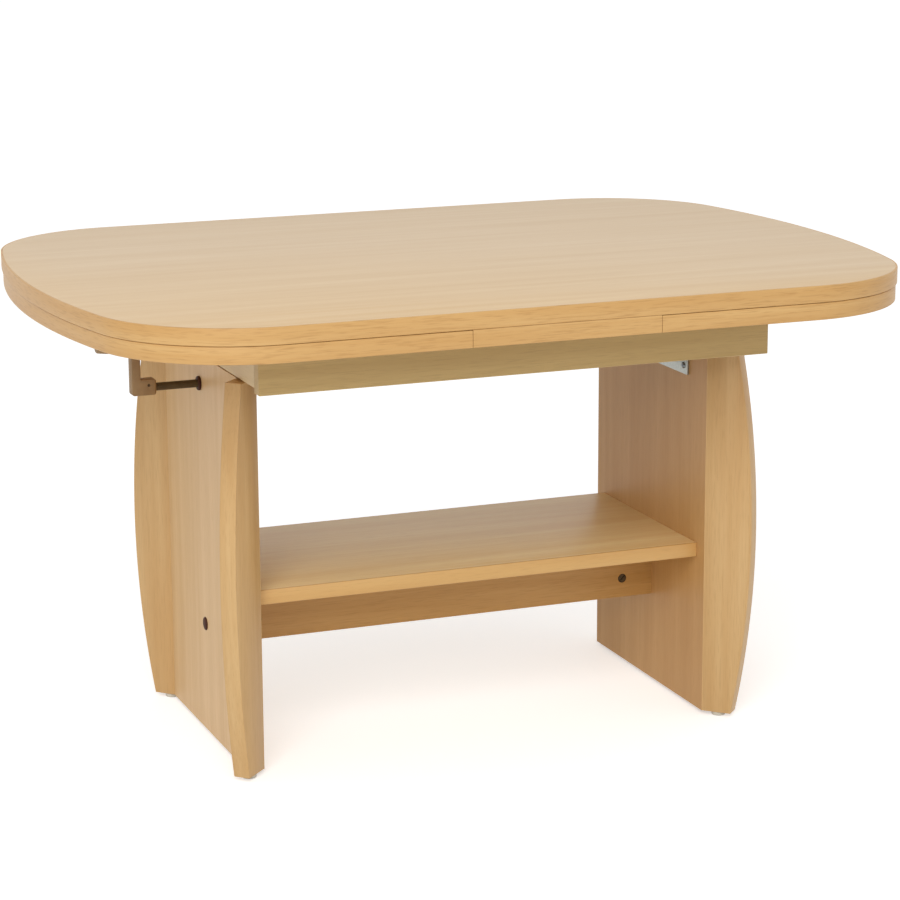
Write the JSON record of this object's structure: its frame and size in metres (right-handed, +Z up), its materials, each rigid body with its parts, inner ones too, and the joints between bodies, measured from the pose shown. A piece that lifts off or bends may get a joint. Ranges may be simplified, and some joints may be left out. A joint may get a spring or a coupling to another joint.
{
  "type": "convertible coffee table",
  "caption": "Beech-effect coffee table with a rounded top lifted by a crank-driven scissor, draw leaves at both ends, splayed bowed leg stiles and a low shelf.",
  "frame": {"origin": "on the floor, under the middle of the top", "axes": "+X along the table's length, away from the crank end; +Y across, towards the rear; +Z up"},
  "size_m": [1.0698, 0.79, 0.6],
  "materials": {
    "beech_top": "satin beech-effect laminate",
    "beech_leg": "satin beech-effect laminate",
    "apron_board": "satin olive-brown laminate",
    "raw_beech": "planed solid beech",
    "zinc_steel": "zinc plated sheet steel",
    "dark_steel": "dark oiled steel",
    "brown_plastic": "moulded brown plastic",
    "dark_brown_plastic": "moulded dark brown plastic",
    "white_nylon": "moulded nylon",
    "bronze": "cast nut bronze"
  },
  "bodies": {
    "base": {"left_leg_panel": "beech_leg", "right_leg_panel": "beech_leg", "left_front_stile": "beech_leg", "left_rear_stile": "beech_leg", "right_front_stile": "beech_leg", "right_rear_stile": "beech_leg", "stile_dowels": "raw_beech", "shelf_board": "beech_leg", "shelf_dowels": "raw_beech", "shelf_stretcher": "beech_leg", "stretcher_bolts": "zinc_steel", "barrel_nuts": "dark_steel", "bolt_cover_caps": "dark_brown_plastic", "foot_glides": "white_nylon", "left_base_bracket": "zinc_steel", "right_base_bracket": "zinc_steel", "base_bracket_screws": "zinc_steel", "rod_bush": "dark_brown_plastic", "spindle_end_bush": "white_nylon"},
    "crank": {"spindle": "dark_steel", "crank_arm": "brown_plastic", "crank_set_screw": "dark_steel", "grip_axle": "zinc_steel"},
    "grip": {"crank_grip": "brown_plastic"},
    "outer_arms": {"front_outer_arm": "zinc_steel", "rear_outer_arm": "zinc_steel", "lower_right_rod": "zinc_steel", "upper_left_rod": "zinc_steel", "centre_rod": "zinc_steel", "outer_rod_clips": "dark_steel", "arm_washers": "white_nylon", "slot_rollers": "white_nylon"},
    "inner_arms": {"front_inner_arm": "zinc_steel", "rear_inner_arm": "zinc_steel", "upper_right_rod": "zinc_steel", "inner_rod_clips": "dark_steel"},
    "nut": {"spindle_nut": "bronze", "nut_trunnions": "zinc_steel"},
    "top": {"table_top": "beech_top", "centre_board": "beech_top", "apron_front": "apron_board", "apron_rear": "apron_board", "left_end_board": "apron_board", "right_end_board": "apron_board", "corner_blocks": "raw_beech", "corner_block_screws": "zinc_steel", "centre_board_screws": "zinc_steel", "top_screws": "zinc_steel", "left_top_bracket": "zinc_steel", "right_top_bracket": "zinc_steel", "top_bracket_screws": "zinc_steel"},
    "left_leaf": {"left_leaf": "beech_top", "left_leaf_runners": "raw_beech", "left_leaf_runner_screws": "zinc_steel", "left_leaf_stops": "raw_beech"},
    "right_leaf": {"right_leaf": "beech_top", "right_leaf_runners": "raw_beech", "right_leaf_runner_screws": "zinc_steel", "right_leaf_stops": "raw_beech"}
  },
  "joints": [
    {"name": "top_lift", "type": "slide", "parent": "base", "child": "top", "axis": [0, 0, 1], "range_m": [0, 0.17]},
    {"name": "left_leaf_slide", "type": "slide", "parent": "top", "child": "left_leaf", "axis": [-1, 0, 0], "range_m": [0, 0.39]},
    {"name": "right_leaf_slide", "type": "slide", "parent": "top", "child": "right_leaf", "axis": [1, 0, 0], "range_m": [0, 0.39]},
    {"name": "outer_arm_swing", "type": "hinge", "parent": "base", "child": "outer_arms", "pos_m": [0.262, 0, 0.459], "axis": [0, 1, 0], "range_deg": [0, 18.88]},
    {"name": "inner_arm_swing", "type": "hinge", "parent": "outer_arms", "child": "inner_arms", "pos_m": [-0.00635, 0, 0.489], "axis": [0, 1, 0], "range_deg": [-37.75, 0]},
    {"name": "nut_swing", "type": "hinge", "parent": "inner_arms", "child": "nut", "pos_m": [-0.2747, 0, 0.459], "axis": [0, 1, 0], "range_deg": [0, 18.88]},
    {"name": "crank_turn", "type": "hinge", "parent": "base", "child": "crank", "pos_m": [-0.4, 0, 0.459], "axis": [1, 0, 0], "range_deg": [0, 2882]},
    {"name": "grip_spin", "type": "hinge", "parent": "crank", "child": "grip", "pos_m": [-0.43, 0, 0.517], "axis": [1, 0, 0], "continuous": true}
  ],
  "couplings": [
    {"joint": "outer_arm_swing", "follows": "top_lift", "rad_per_m": 1.9174},
    {"joint": "inner_arm_swing", "follows": "top_lift", "rad_per_m": -3.8348},
    {"joint": "nut_swing", "follows": "top_lift", "rad_per_m": 1.9174},
    {"joint": "crank_turn", "follows": "top_lift", "rad_per_m": 295.68}
  ]
}
